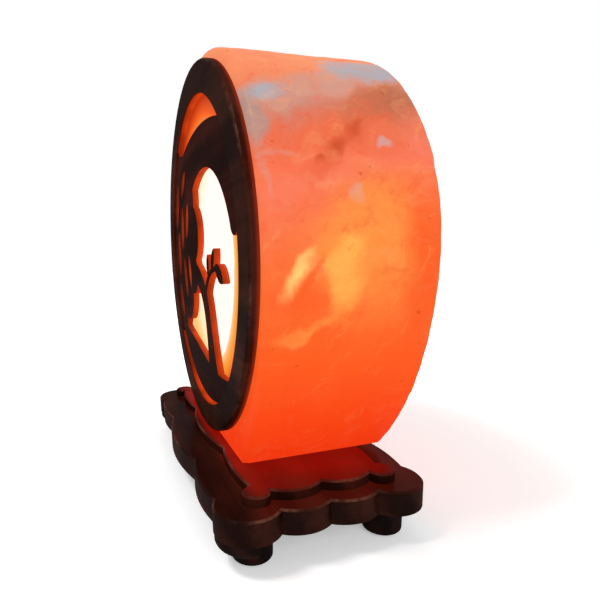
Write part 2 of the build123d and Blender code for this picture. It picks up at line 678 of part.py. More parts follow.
# ------------------------------------------------------------------ pieces
save(salt_drum(), "salt_drum")
save(front_ring(), "front_ring")
save(fretwork_panel(), "fretwork_panel")
save(ring_pins(), "ring_pins")
save(upper_tier(), "upper_tier")
save(lower_tier(), "lower_tier")
for side_name, foot_x in (("left", -FOOT_X), ("right", FOOT_X)):
    for end_name, foot_y in (("front", -FOOT_Y), ("back", FOOT_Y)):
        save(foot(foot_x, foot_y), f"foot_{end_name}_{side_name}")
save(Compound(children=[rod(PAD_R, PAD_T, x, y) for x, y in four_corners(FOOT_X, FOOT_Y)]), "foot_pads")
save(Compound(children=[rod(DOWEL_R, DOWEL_IN_FOOT + DOWEL_IN_TIER, x, y, UNDERSIDE_Z - DOWEL_IN_FOOT)
                        for x, y in four_corners(FOOT_X, FOOT_Y)]), "foot_dowels")
save(tier_screws(), "tier_screws")
save(salt_screws(), "salt_screws")
save(salt_plugs(), "salt_plugs")
save(end_cap(), "holder_end_cap")
save(cord_gland(), "cord_gland")
save(holder_body(), "holder_body")
save(terminal_block(), "terminal_block")
save(terminal_screws(), "terminal_screws")
save(centre_contact(), "centre_contact")
save(threaded_sleeve(), "threaded_sleeve")
save(wing_band(), "wing_band")
save(wing_pins(), "wing_pins")
save(spring_wing(-1), "spring_wing_left")
save(spring_wing(1), "spring_wing_right")
save(bulb_contact(), "bulb_contact")
save(bulb_insulator(), "bulb_insulator")
save(bulb_cap(), "bulb_cap")
save(bulb_glass(), "bulb_glass")
save(bulb_stem(), "bulb_stem")
save(bulb_leads(), "bulb_leads")
save(bulb_filament(), "bulb_filament")
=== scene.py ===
from math import cos, radians, sin

import bpy
import numpy as np
from mathutils import Matrix, Vector


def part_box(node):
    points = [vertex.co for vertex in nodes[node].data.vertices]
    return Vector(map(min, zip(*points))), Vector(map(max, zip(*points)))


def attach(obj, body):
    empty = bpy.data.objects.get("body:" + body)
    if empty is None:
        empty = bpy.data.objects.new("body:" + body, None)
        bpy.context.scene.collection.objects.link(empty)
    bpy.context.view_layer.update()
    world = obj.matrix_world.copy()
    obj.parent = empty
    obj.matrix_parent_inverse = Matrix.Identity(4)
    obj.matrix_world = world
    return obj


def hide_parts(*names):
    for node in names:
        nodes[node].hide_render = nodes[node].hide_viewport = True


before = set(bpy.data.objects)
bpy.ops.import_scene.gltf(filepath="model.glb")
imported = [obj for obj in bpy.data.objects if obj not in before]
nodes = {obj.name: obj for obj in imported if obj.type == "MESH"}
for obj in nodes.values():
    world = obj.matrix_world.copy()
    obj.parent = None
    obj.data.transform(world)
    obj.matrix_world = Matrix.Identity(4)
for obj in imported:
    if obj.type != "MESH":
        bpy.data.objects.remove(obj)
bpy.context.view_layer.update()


# --- Feet and floor pads -----------------------------------------------------------------
# Four turned hardwood feet, stained almost black and waxed, doweled and glued under the
# lower tier. A disc of black wool felt is glued under each one.

def put(tree, kind, sockets=None, **settings):
    """Adds a shader node. sockets maps an input's name or index to a value or a socket."""
    node = tree.nodes.new("ShaderNode" + kind)
    for key, value in settings.items():
        setattr(node, key, value)
    for key, value in (sockets or {}).items():
        if isinstance(value, bpy.types.NodeSocket):
            tree.links.new(value, node.inputs[key])
        else:
            node.inputs[key].default_value = value
    return node


def mixed(tree, factor, a, b, mode="MIX"):
    """Colour between a and b by factor. Each is a colour of three numbers, or a socket."""
    a, b = (end if isinstance(end, bpy.types.NodeSocket) else (*end, 1.0) for end in (a, b))
    node = put(tree, "Mix", {0: factor, 6: a, 7: b}, data_type="RGBA", blend_type=mode)
    return node.outputs[2]


def reckon(tree, operation, a, b=0.0, c=0.0, clamp=False):
    """One step of arithmetic on numbers."""
    node = put(tree, "Math", {0: a, 1: b, 2: c}, operation=operation, use_clamp=clamp)
    return node.outputs[0]


def product(tree, first, *others):
    """The numbers multiplied together."""
    for other in others:
        first = reckon(tree, "MULTIPLY", first, other)
    return first


def reckon_xyz(tree, operation, a, b, c=(0.0, 0.0, 0.0)):
    """One step of arithmetic on vectors, axis by axis."""
    return put(tree, "VectorMath", {0: a, 1: b, 2: c}, operation=operation).outputs[0]


def mottle(tree, vector, scale, detail, roughness=0.5):
    """Smooth noise about 0.5 with scale cells to a unit of vector and detail finer layers."""
    return put(tree, "TexNoise", {"Vector": vector, "Scale": scale, "Detail": detail,
                                  "Roughness": roughness}).outputs["Fac"]


def spread(tree, value, low, high, to_low=0.0, to_high=1.0):
    """value from low..high carried smoothly to to_low..to_high, and level past both ends."""
    node = put(tree, "MapRange", {"Value": value, "From Min": low, "From Max": high,
                                  "To Min": to_low, "To Max": to_high},
               interpolation_type="SMOOTHSTEP")
    return node.outputs["Result"]


def ramp(tree, value, stops):
    """Colour ramp through (position, colour) stops."""
    node = put(tree, "ValToRGB", {"Fac": value})
    elements = node.color_ramp.elements
    while len(elements) < len(stops):
        elements.new(0.5)
    for element, (position, colour) in zip(elements, stops):
        element.position = position
        element.color = (*colour, 1.0)
    return node.outputs["Color"]


def finish_named(name, **plain):
    """New material with the shader's plain values set on its own sockets."""
    material = bpy.data.materials.new(name)
    material.use_nodes = True
    tree = material.node_tree
    shader = tree.nodes["Principled BSDF"]
    for key, value in plain.items():
        shader.inputs[key.replace("_", " ")].default_value = value
    return material, tree, shader


def place_of(tree, scale=(1.0, 1.0, 1.0), move=(0.0, 0.0, 0.0), turn=(0.0, 0.0, 0.0)):
    """Object coordinates, scaled, then turned, then moved."""
    here = put(tree, "TexCoord").outputs["Object"]
    return put(tree, "Mapping", {"Vector": here, "Scale": scale, "Location": move,
                                 "Rotation": turn}).outputs[0]


def facing_of(tree, axis):
    """How far the surface faces along one of the object's axes: its normal's part there."""
    return put(tree, "SeparateXYZ", {0: put(tree, "TexCoord").outputs["Normal"]}).outputs[axis]


def toned(colour, *factors):
    """Colour with its three parts multiplied, all by the one factor given or each by its own."""
    return tuple(part * factor for part, factor in zip(colour, factors * (3 // len(factors))))


def raised(tree, shader, height, distance, strength=1.0):
    """Height into the shader's normal through a bump."""
    bump = put(tree, "Bump", {"Height": height, "Distance": distance, "Strength": strength})
    tree.links.new(bump.outputs["Normal"], shader.inputs["Normal"])


def clothe(material, *names):
    """Gives each CAD node the material in all its slots."""
    for name in names:
        slots = nodes[name].data.materials
        if not len(slots):
            slots.append(material)
        for i in range(len(slots)):
            slots[i] = material


def group_of(name, inputs, outputs):
    """Empty node group with named sockets: (tree, in node, out node)."""
    tree = bpy.data.node_groups.new(name, "ShaderNodeTree")
    for label, kind, value in inputs:
        socket = tree.interface.new_socket(name=label, in_out="INPUT", socket_type="NodeSocket" + kind)
        if value is not None:
            socket.default_value = value
    for label, kind in outputs:
        tree.interface.new_socket(name=label, in_out="OUTPUT", socket_type="NodeSocket" + kind)
    return tree, tree.nodes.new("NodeGroupInput"), tree.nodes.new("NodeGroupOutput")


def use_group(tree, group, sockets):
    """Places a node group with its values."""
    node = tree.nodes.new("ShaderNodeGroup")
    node.node_tree = group
    for key, value in sockets.items():
        if isinstance(value, bpy.types.NodeSocket):
            tree.links.new(value, node.inputs[key])
        else:
            node.inputs[key].default_value = value
    return node


FIBRE_RATIO = 40.0           # a wood vessel's length over its width
FULL_TURN = 6.2832           # radians
WORN_AND_HIGHLIGHTED_WOOD = (0.20, 0.080, 0.048)   # pale edge colour: stain lost to handling, and painted highlight


def grain_group():
    """Grain of a sawn board whose fibres run along the first coordinate.

    Vessels are noise stretched 40:1 along the fibres; growth bands are a wave across them,
    bent by a slow noise; a broad noise lets the stain take unevenly.
    """
    tree, start, end = group_of(
        "board_grain",
        [("Vector", "Vector", None), ("Fineness", "Float", 1.0), ("Bands", "Float", 60.0)],
        [("Tone", "Float"), ("Vessels", "Float"), ("Stain", "Float"), ("Height", "Float")])
    fine = put(tree, "VectorMath", {0: start.outputs["Vector"], 3: start.outputs["Fineness"]},
               operation="SCALE").outputs[0]
    bend = mottle(tree, fine, scale=9.0, detail=2.0)
    along = reckon_xyz(tree, "MULTIPLY", fine, (1 / FIBRE_RATIO, 1.0, 1.0))
    vessels = mottle(tree, along, scale=900.0, detail=4.0, roughness=0.7)
    streaks = mottle(tree, along, scale=210.0, detail=3.0)
    across = put(tree, "SeparateXYZ", {0: fine})
    ring_at = reckon(tree, "MULTIPLY_ADD", bend, 0.05, across.outputs["Y"])
    ring_at = reckon(tree, "MULTIPLY_ADD", across.outputs["Z"], 0.35, ring_at)
    bands = product(tree, start.outputs["Bands"], FULL_TURN)
    bands = reckon(tree, "SINE", product(tree, ring_at, bands))
    bands = reckon(tree, "MULTIPLY_ADD", bands, 0.5, 0.5)
    stain = mottle(tree, fine, scale=22.0, detail=3.0)
    tone = reckon(tree, "ADD", product(tree, bands, 0.35), product(tree, streaks, 0.65))
    pores = spread(tree, vessels, 0.60, 0.72)
    height = reckon(tree, "SUBTRACT", product(tree, streaks, 0.5), pores)
    for label, socket in (("Tone", tone), ("Vessels", pores), ("Stain", stain), ("Height", height)):
        tree.links.new(socket, end.inputs[label])
    return tree


BOARD_GRAIN = grain_group()


def edge_wear_and_highlight_group():
    """Mask of the broken pale line on an eased edge: stain lost to handling there, and painted highlight.

    Facing is the normal's part towards the board's face: it is 1 on the face, 0 on the side
    and between them on the eased edge, where noise then breaks the line up.
    """
    tree, start, end = group_of("edge_wear_and_highlight", [("Vector", "Vector", None), ("Facing", "Float", 0.0)],
                                [("Mask", "Float")])
    facing = reckon(tree, "ABSOLUTE", start.outputs["Facing"])
    line = product(tree, spread(tree, facing, 0.35, 0.60), spread(tree, facing, 0.97, 0.85))
    patchy = mottle(tree, start.outputs["Vector"], scale=48.0, detail=4.0)
    fine = mottle(tree, start.outputs["Vector"], scale=420.0, detail=2.0)
    lost_stain_and_highlight = product(tree, spread(tree, patchy, 0.46, 0.66), spread(tree, fine, 0.35, 0.60, 0.35, 1.0))
    tree.links.new(product(tree, line, lost_stain_and_highlight), end.inputs["Mask"])
    return tree


EDGE_WEAR_AND_HIGHLIGHT = edge_wear_and_highlight_group()


def stained_wood(name, dark, light, fineness=1.0, bands=60.0, coat=0.05, faces="Z", wear_and_highlight=0.38,
                 glow=None):
    """Dark stained board with its fibres along X, under a thin satin varnish.

    faces is the axis that its broad faces look along, and wear_and_highlight is how strongly their eased
    edges show lost stain and painted highlight. glow(tree), where given, adds a lit colour.
    """
    material, tree, shader = finish_named(name, Coat_Weight=coat, Coat_Roughness=0.24, Specular_IOR_Level=0.0)
    grain = use_group(tree, BOARD_GRAIN, {"Vector": place_of(tree), "Fineness": fineness,
                                          "Bands": bands})
    tone = spread(tree, grain.outputs["Tone"], 0.3, 0.72)
    colour = mixed(tree, tone, dark, light)
    uneven = spread(tree, grain.outputs["Stain"], 0.35, 0.7, 0.72, 1.15)
    uneven = put(tree, "CombineColor", {0: uneven, 1: uneven, 2: uneven}).outputs[0]
    colour = mixed(tree, 1.0, colour, uneven, "MULTIPLY")
    colour = mixed(tree, product(tree, grain.outputs["Vessels"], 0.55), colour, toned(dark, 0.35))
    facing = facing_of(tree, faces)
    # pale line on the eased edges: stain lost to handling, and painted highlight
    lost_stain_and_highlight = use_group(tree, EDGE_WEAR_AND_HIGHLIGHT, {"Vector": place_of(tree), "Facing": facing}).outputs["Mask"]
    colour = mixed(tree, product(tree, lost_stain_and_highlight, wear_and_highlight), colour, WORN_AND_HIGHLIGHTED_WOOD)
    tree.links.new(colour, shader.inputs["Base Color"])
    tree.links.new(spread(tree, grain.outputs["Tone"], 0.2, 0.8, 0.36, 0.55), shader.inputs["Roughness"])
    raised(tree, shader, grain.outputs["Height"], 0.00012, 0.5)
    if glow:
        tree.links.new(glow(tree), shader.inputs["Emission Color"])
        shader.inputs["Emission Strength"].default_value = 1.0
    return material


foot_wood = stained_wood("foot_wood", (0.005, 0.002, 0.002), (0.015, 0.005, 0.004), fineness=1.3, wear_and_highlight=0.15)
clothe(foot_wood, "foot_front_left", "foot_front_right", "foot_back_left", "foot_back_right")


def wool_felt():
    """Black felt: fibres tangled every way, with a slight sheen."""
    material, tree, shader = finish_named("pad_felt", Roughness=0.95, Sheen_Weight=0.4)
    fuzz = mottle(tree, place_of(tree), scale=2600.0, detail=3.0)
    tree.links.new(mixed(tree, fuzz, (0.008, 0.008, 0.008), (0.035, 0.034, 0.033)),
                   shader.inputs["Base Color"])
    raised(tree, shader, fuzz, 0.0002)
    return material


clothe(wool_felt(), "foot_pads")


def bare_wood():
    """Unstained beech dowel."""
    material, tree, shader = finish_named("dowel_beech", Roughness=0.6)
    grain = use_group(tree, BOARD_GRAIN, {"Vector": place_of(tree, turn=(0.0, radians(90), 0.0)),
                                          "Fineness": 2.0, "Bands": 300.0})
    tree.links.new(mixed(tree, grain.outputs["Tone"], (0.50, 0.33, 0.19), (0.68, 0.50, 0.32)),
                   shader.inputs["Base Color"])
    raised(tree, shader, grain.outputs["Height"], 0.0001, 0.5)
    return material


clothe(bare_wood(), "foot_dowels", "ring_pins")


# --- Stand: lower and upper tier ---------------------------------------------------------
# Two boards of red-brown hardwood, sawn to the same lobed outline in two sizes, their top
# edges eased, stained and varnished. Screws from below draw them together.

SALT_FOOT_HALF = 0.060       # half width of the salt's flat underside
SALT_FOOT_DEEP = 0.046       # half its depth
RING_LOW, RING_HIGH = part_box("front_ring")
RING_CENTRE_Z = (RING_LOW.z + RING_HIGH.z) / 2


def spot_of(tree):
    """X, Y and Z of the surface's place, in metres."""
    return put(tree, "SeparateXYZ", {0: put(tree, "TexCoord").outputs["Object"]})


def lit_from_salt(tree, reach, lit, eased):
    """Red light that the glowing salt throws on a board: lit on faces that look up, eased on
    rounded edges, falling off over reach from the salt's foot; the ring shades the front."""
    place = spot_of(tree)
    beside = reckon(tree, "SUBTRACT", reckon(tree, "ABSOLUTE", place.outputs["X"]), SALT_FOOT_HALF)
    behind = reckon(tree, "SUBTRACT", reckon(tree, "ABSOLUTE", place.outputs["Y"]), SALT_FOOT_DEEP)
    beside = reckon(tree, "POWER", reckon(tree, "MAXIMUM", beside, 0.0), 2.0)
    behind = reckon(tree, "POWER", reckon(tree, "MAXIMUM", behind, 0.0), 2.0)
    away = reckon(tree, "SQRT", reckon(tree, "ADD", beside, behind))
    near = spread(tree, away, reach, 0.0, 0.25, 1.0)
    shaded = spread(tree, place.outputs["Y"], RING_LOW.y - 0.004, RING_HIGH.y, 0.06, 1.0)
    near = product(tree, near, shaded)
    upward = facing_of(tree, "Z")
    flat = product(tree, spread(tree, upward, 0.85, 0.99), near)
    rounded = product(tree, spread(tree, upward, 0.15, 0.60), near)
    cloudy = mottle(tree, place_of(tree), scale=45.0, detail=3.0)
    flat = product(tree, flat, spread(tree, cloudy, 0.30, 0.65, 0.72, 1.12))
    colour = mixed(tree, rounded, (0.0, 0.0, 0.0), eased)
    return mixed(tree, flat, colour, lit)


def lit_upper(tree):
    """The upper board lies right under the salt."""
    return lit_from_salt(tree, 0.045, (0.25, 0.003, 0.0008), (0.10, 0.006, 0.003))


def lit_lower(tree):
    """The lower board's ledge sees less of the salt."""
    return lit_from_salt(tree, 0.060, (0.066, 0.0025, 0.0008), (0.026, 0.003, 0.001))


# The two boards are one stained wood; the lower board's darker base is painted shade, for the shade that its
# front faces lie in.
lower_wood = stained_wood("lower_tier_wood", (0.009, 0.0025, 0.0016), (0.028, 0.0070, 0.0042), bands=45.0,
                          glow=lit_lower)
upper_wood = stained_wood("upper_tier_wood", (0.012, 0.0025, 0.0016), (0.036, 0.0070, 0.0040), bands=45.0,
                          glow=lit_upper)
clothe(lower_wood, "lower_tier")
clothe(upper_wood, "upper_tier")


# --- Screws, plugs and pins ---------------------------------------------------------------
# Zinc-plated steel screws with driving slots; the two long ones bite into grey nylon plugs
# that are set in drilled holes in the salt.

def plated_steel(name, tint, rough=0.32):
    """Plated steel with fine turning marks and a little dulling."""
    material, tree, shader = finish_named(name, Metallic=1.0)
    noise = mottle(tree, place_of(tree), scale=700.0, detail=4.0)
    dull = mottle(tree, place_of(tree), scale=160.0, detail=2.0)
    tree.links.new(mixed(tree, dull, tint, toned(tint, 0.7, 0.69, 0.66)),
                   shader.inputs["Base Color"])
    tree.links.new(spread(tree, noise, 0.3, 0.7, rough, rough + 0.18), shader.inputs["Roughness"])
    raised(tree, shader, noise, 0.00004)
    return material


screw_steel = plated_steel("screw_steel", (0.62, 0.62, 0.60))
clothe(screw_steel, "tier_screws", "salt_screws", "wing_pins")


def moulded(name, colour, rough=0.5):
    """Moulded plastic or rubber with a fine spark-eroded grain."""
    material, tree, shader = finish_named(name)
    speck = mottle(tree, place_of(tree), scale=1400.0, detail=2.0)
    tree.links.new(mixed(tree, speck, toned(colour, 0.85), toned(colour, 1.15)),
                   shader.inputs["Base Color"])
    tree.links.new(spread(tree, speck, 0.3, 0.7, rough - 0.06, rough + 0.08), shader.inputs["Roughness"])
    raised(tree, shader, speck, 0.00005)
    return material


clothe(moulded("plug_nylon", (0.30, 0.30, 0.29)), "salt_plugs")


# --- Salt drum ----------------------------------------------------------------------------
# One block of rock salt, sawn and ground round, hollowed from the front for the light. It
# glows from inside; cloudy layers and grey seams of clay run through it.

SALT_UNITS = 10.0            # the salt's own sizes are in units of 100 mm about the ring's centre
CHAMBER_R = 0.57
CHAMBER_FRONT_Y = -0.284     # the panel's back closes the chamber here
CHAMBER_BACK_Y = 0.316
BORE_R = 0.20
BORE_TOP_Z = -0.30
PANEL_OPENING_R = 0.83
SALT_LOW, SALT_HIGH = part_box("salt_drum")
SALT_FRONT_Y = SALT_UNITS * SALT_LOW.y
SALT_R = SALT_UNITS * SALT_HIGH.x

CLAY_GREY = (0.43, 0.415, 0.45)
CLAY_ROSE = (0.43, 0.28, 0.245)
DUSTY_PINK = (0.64, 0.33, 0.26)
OLD_ROSE = (0.95, 0.215, 0.125)
CLAY_BLUSH = (0.66, 0.38, 0.36)
RUST = (0.50, 0.145, 0.072)
BRICK = (0.88, 0.145, 0.058)
EMBER = (0.97, 0.105, 0.016)
APRICOT = (0.95, 0.26, 0.115)
AMBER = (0.99, 0.295, 0.055)
GOLD = (0.995, 0.48, 0.090)
PALE_GOLD = (1.0, 0.67, 0.19)
DARK_CRACK = (0.60, 0.075, 0.020)
PALE_WISP = (1.0, 0.42, 0.18)
DEEP_WISP = (0.78, 0.070, 0.014)
PALE_VEIN = (1.0, 0.40, 0.13)
DEEP_VEIN = (0.86, 0.095, 0.022)
GRIT = (0.50, 0.060, 0.020)

# the salt's own layers, from 100 mm below the ring's centre at 0 to 100 mm above it at 1
SALT_LAYERS = (
    (0.025, (0.95, 0.045, 0.006)), (0.15, (0.985, 0.066, 0.008)), (0.30, (0.995, 0.112, 0.014)),
    (0.45, (0.975, 0.16, 0.030)), (0.575, (0.965, 0.185, 0.070)), (0.675, (0.94, 0.17, 0.080)),
    (0.75, (0.82, 0.19, 0.095)), (0.83, (0.84, 0.24, 0.120)), (0.90, (0.94, 0.29, 0.130)),
    (1.0, (0.95, 0.30, 0.140)),
)


def length_of(tree, vector):
    """Length of a vector."""
    return put(tree, "VectorMath", {0: vector}, operation="LENGTH").outputs["Value"]


def cloud_group():
    """Mask of one soft-edged cloud in the salt: 1 inside an ellipsoid about Centre, 0 outside.

    The offset from Centre is turned about X by minus Turn, so that the cloud's long side
    climbs by Turn above +Y, and divided by Size; the mask falls off about length 1.
    """
    tree, start, end = group_of(
        "salt_cloud",
        [("Vector", "Vector", None), ("Centre", "Vector", None), ("Size", "Vector", None),
         ("Turn", "Float", 0.0), ("Softness", "Float", 0.3)],
        [("Mask", "Float")])
    offset = reckon_xyz(tree, "SUBTRACT", start.outputs["Vector"], start.outputs["Centre"])
    back = product(tree, start.outputs["Turn"], -1.0)
    turned = put(tree, "VectorRotate", {"Vector": offset, "Angle": back}, rotation_type="X_AXIS").outputs[0]
    far = length_of(tree, reckon_xyz(tree, "DIVIDE", turned, start.outputs["Size"]))
    near_edge = reckon(tree, "SUBTRACT", 1.0, start.outputs["Softness"])
    far_edge = reckon(tree, "ADD", 1.0, start.outputs["Softness"])
    tree.links.new(spread(tree, far, near_edge, far_edge, 1.0, 0.0), end.inputs["Mask"])
    return tree


SALT_CLOUD = cloud_group()
VEIN_LEAN = radians(48)      # the fine veins climb towards the back
CLOUD_DEEP = 0.30            # how far a cloud on the round skin reaches in
SMALL_CLOUD = 0.11           # clouds no longer than this keep their place; larger ones are bent more
OWN_SHARE, GLOW_SHARE = 0.12, 0.88   # parts of the salt's look that are its own colour and its light
BLAZE_RISE = 5.0             # the chamber's wall goes from orange to white over 1 / 5 of a unit

# clouds and seams: side, (y, z), half length and half height, turn in degrees, colour, strength, softness
SALT_CLOUDS = (
    (1, (-0.20, 0.78), (0.16, 0.13), 0, APRICOT, 0.8, 0.6),
    (1, (0.00, 0.64), (0.34, 0.085), 18, DUSTY_PINK, 0.9, 0.6),
    (1, (0.04, 0.48), (0.26, 0.11), 12, BRICK, 0.75, 0.7),
    (1, (0.22, 0.58), (0.16, 0.06), 20, RUST, 0.6, 0.8),
    (1, (0.40, 0.60), (0.15, 0.12), 10, RUST, 0.95, 0.6),
    (1, (-0.08, 0.54), (0.17, 0.055), 12, CLAY_ROSE, 0.4, 0.8),
    (1, (0.30, 0.77), (0.18, 0.065), 0, CLAY_GREY, 1.0, 0.45),
    (1, (-0.19, 0.607), (0.085, 0.038), 8, CLAY_GREY, 1.0, 0.5),
    (1, (-0.27, 0.50), (0.045, 0.10), 0, CLAY_ROSE, 0.9, 0.5),
    (1, (0.43, 0.38), (0.10, 0.17), 0, OLD_ROSE, 0.8, 0.6),
    (1, (0.12, 0.31), (0.22, 0.04), 12, OLD_ROSE, 0.6, 0.6),
    (1, (-0.20, 0.22), (0.11, 0.05), 10, OLD_ROSE, 0.45, 0.7),
    (1, (-0.25, 0.10), (0.06, 0.22), 0, OLD_ROSE, 0.2, 0.7),
    (1, (-0.25, 0.33), (0.014, 0.13), 0, DUSTY_PINK, 0.4, 0.6),
    (1, (0.06, 0.41), (0.16, 0.035), 37, DARK_CRACK, 0.35, 0.9),
    (1, (0.135, 0.465), (0.045, 0.020), 40, DARK_CRACK, 0.75, 0.9),
    (1, (0.052, 0.392), (0.035, 0.022), 30, DARK_CRACK, 0.85, 0.9),
    (1, (-0.032, 0.335), (0.022, 0.014), 30, DARK_CRACK, 0.8, 0.9),
    (1, (-0.20, 0.36), (0.06, 0.012), 0, DUSTY_PINK, 0.35, 0.8),
    (1, (0.10, 0.215), (0.026, 0.036), 0, CLAY_BLUSH, 0.9, 0.6),
    (1, (0.254, 0.416), (0.034, 0.018), 10, CLAY_BLUSH, 0.95, 0.5),
    (1, (0.20, 0.10), (0.22, 0.18), 17, AMBER, 0.85, 0.7),
    (1, (0.03, 0.03), (0.15, 0.13), 0, AMBER, 0.8, 0.6),
    (1, (0.22, -0.06), (0.16, 0.20), -10, AMBER, 0.6, 0.8),
    (1, (0.055, 0.018), (0.055, 0.050), 30, GOLD, 0.9, 0.7),
    (1, (0.035, -0.12), (0.055, 0.12), 0, GOLD, 0.75, 0.7),
    (1, (-0.01, -0.04), (0.055, 0.035), 0, GOLD, 0.6, 0.7),
    (1, (-0.17, -0.17), (0.11, 0.055), 0, EMBER, 0.6, 0.6),
    (1, (-0.09, -0.08), (0.08, 0.016), 60, EMBER, 0.7, 0.5),
    (1, (-0.155, -0.075), (0.085, 0.026), 57, PALE_GOLD, 0.9, 0.8),
    (1, (-0.10, -0.29), (0.13, 0.028), 20, AMBER, 0.8, 0.6),
    (1, (0.41, -0.08), (0.11, 0.34), 0, EMBER, 0.85, 0.6),
    (-1, (0.05, 0.66), (0.30, 0.09), -12, DUSTY_PINK, 0.75, 0.7),
    (-1, (0.28, 0.74), (0.16, 0.06), 0, CLAY_GREY, 0.9, 0.4),
    (-1, (-0.15, 0.50), (0.12, 0.05), 18, CLAY_ROSE, 0.8, 0.5),
    (-1, (0.25, 0.35), (0.16, 0.13), 0, OLD_ROSE, 0.7, 0.6),
    (-1, (-0.10, 0.10), (0.24, 0.18), -15, AMBER, 0.85, 0.7),
    (-1, (0.02, 0.02), (0.09, 0.08), 0, GOLD, 0.8, 0.7),
    (-1, (0.14, -0.12), (0.10, 0.028), -48, PALE_GOLD, 0.7, 0.9),
    (-1, (-0.05, -0.30), (0.14, 0.04), -10, AMBER, 0.5, 0.9),
    (-1, (0.00, 0.42), (0.14, 0.035), -30, DARK_CRACK, 0.35, 0.9),
    (-1, (0.05, 0.39), (0.035, 0.020), -30, DARK_CRACK, 0.8, 0.9),
)

# the same on the back face and on the crown: centre, half sizes, colour, strength, softness
MORE_CLOUDS = (
    ((-0.35, 0.47, 0.60), (0.36, 0.10, 0.12), DUSTY_PINK, 0.7, 0.8),
    ((0.28, 0.47, 0.72), (0.30, 0.10, 0.08), CLAY_GREY, 0.75, 0.8),
    ((0.62, 0.47, 0.52), (0.14, 0.10, 0.16), CLAY_ROSE, 0.5, 0.8),
    ((0.45, 0.47, 0.28), (0.26, 0.10, 0.14), OLD_ROSE, 0.7, 0.8),
    ((-0.05, 0.47, 0.08), (0.40, 0.10, 0.34), AMBER, 0.85, 0.8),
    ((-0.02, 0.47, 0.00), (0.22, 0.10, 0.18), GOLD, 0.7, 0.9),
    ((0.24, 0.47, -0.20), (0.20, 0.10, 0.05), GOLD, 0.5, 0.9),
    ((-0.60, 0.47, -0.05), (0.16, 0.10, 0.26), EMBER, 0.6, 0.8),
    ((-0.22, 0.47, 0.40), (0.20, 0.10, 0.05), DARK_CRACK, 0.3, 0.9),
    ((-0.28, 0.47, 0.40), (0.05, 0.10, 0.018), DARK_CRACK, 0.8, 0.9),
    ((-0.10, 0.47, 0.44), (0.04, 0.10, 0.014), DARK_CRACK, 0.7, 0.9),
    ((0.06, 0.25, 0.90), (0.30, 0.12, 0.12), DUSTY_PINK, 0.55, 0.9),
    ((-0.30, -0.05, 0.86), (0.14, 0.16, 0.12), CLAY_ROSE, 0.5, 0.9),
    ((-0.12, 0.33, 0.90), (0.14, 0.06, 0.10), CLAY_GREY, 0.8, 0.7),
    ((0.12, 0.00, 0.90), (0.20, 0.10, 0.12), AMBER, 0.45, 0.9),
    ((-0.55, 0.20, 0.72), (0.16, 0.14, 0.08), RUST, 0.4, 0.9),
)


def salt_place(tree):
    """Place in the salt in its own units, as (plain, ruffled, stirred).

    Ruffled is the plain place moved by a fine noise; stirred is that moved again by a broad
    one, which bends the layers and the large clouds.
    """
    places = [place_of(tree, scale=3 * (SALT_UNITS,), move=(0.0, 0.0, -SALT_UNITS * RING_CENTRE_Z))]
    for scale, amount in ((14.0, 0.07), (4.0, 0.20)):
        stir = put(tree, "TexNoise", {"Vector": places[0], "Scale": scale, "Detail": 4.0}).outputs["Color"]
        stir = reckon_xyz(tree, "SUBTRACT", stir, (0.5, 0.5, 0.5))
        places.append(reckon_xyz(tree, "MULTIPLY_ADD", stir, 3 * (amount,), places[-1]))
    return places


def all_clouds():
    """Each cloud's centre, half sizes, turn, colour, strength and softness.

    A cloud of SALT_CLOUDS is centred on the round skin: its x is the root of the skin's
    radius squared less z squared.
    """
    for side, (y, z), (along, high), turn, colour, strength, soft in SALT_CLOUDS:
        skin_x = side * (SALT_R ** 2 - z ** 2) ** 0.5
        yield (skin_x, y, z), (CLOUD_DEEP, along, high), radians(turn), colour, strength, soft
    for centre, size, colour, strength, soft in MORE_CLOUDS:
        yield centre, size, 0.0, colour, strength, soft


def clouded(tree, look, ruffled, stirred, wisps):
    """look with each cloud laid over it in turn, broken up by the wisps."""
    broken = spread(tree, wisps, 0.30, 0.58, 0.62, 1.0)
    for centre, size, turn, colour, strength, soft in all_clouds():
        drawn = stirred if sorted(size)[1] > SMALL_CLOUD else ruffled
        mask = use_group(tree, SALT_CLOUD, {"Vector": drawn, "Centre": centre, "Size": size, "Turn": turn,
                                            "Softness": soft}).outputs["Mask"]
        look = mixed(tree, product(tree, mask, product(tree, broken, strength)), look, colour)
    return look


def veined(tree, look, plain, stirred, wisps, height):
    """look with pale and deep wisps, with veins that climb towards the back, and with dark
    grit. Wisps and veins are stronger higher up, where the salt is less bright."""
    pale = product(tree, spread(tree, wisps, 0.52, 0.72), spread(tree, height, -0.45, 0.25, 0.04, 0.22))
    deep = product(tree, spread(tree, wisps, 0.46, 0.30), spread(tree, height, -0.60, 0.20, 0.08, 0.26))
    leaning = put(tree, "VectorRotate", {"Vector": stirred, "Angle": -VEIN_LEAN},
                  rotation_type="X_AXIS").outputs[0]
    leaning = reckon_xyz(tree, "MULTIPLY", leaning, (1.0, 0.45, 2.4))
    veins = mottle(tree, leaning, scale=8.0, detail=9.0, roughness=0.70)
    strong = spread(tree, height, -0.50, 0.10, 0.10, 0.34)
    pale_veins = product(tree, spread(tree, veins, 0.54, 0.70), strong)
    deep_veins = product(tree, spread(tree, veins, 0.44, 0.28), strong)
    grit = mottle(tree, plain, scale=26.0, detail=3.0)
    grit = product(tree, spread(tree, grit, 0.70, 0.76), 0.5)
    for mask, colour in ((pale, PALE_WISP), (deep, DEEP_WISP), (pale_veins, PALE_VEIN),
                         (deep_veins, DEEP_VEIN), (grit, GRIT)):
        look = mixed(tree, mask, look, colour)
    return look


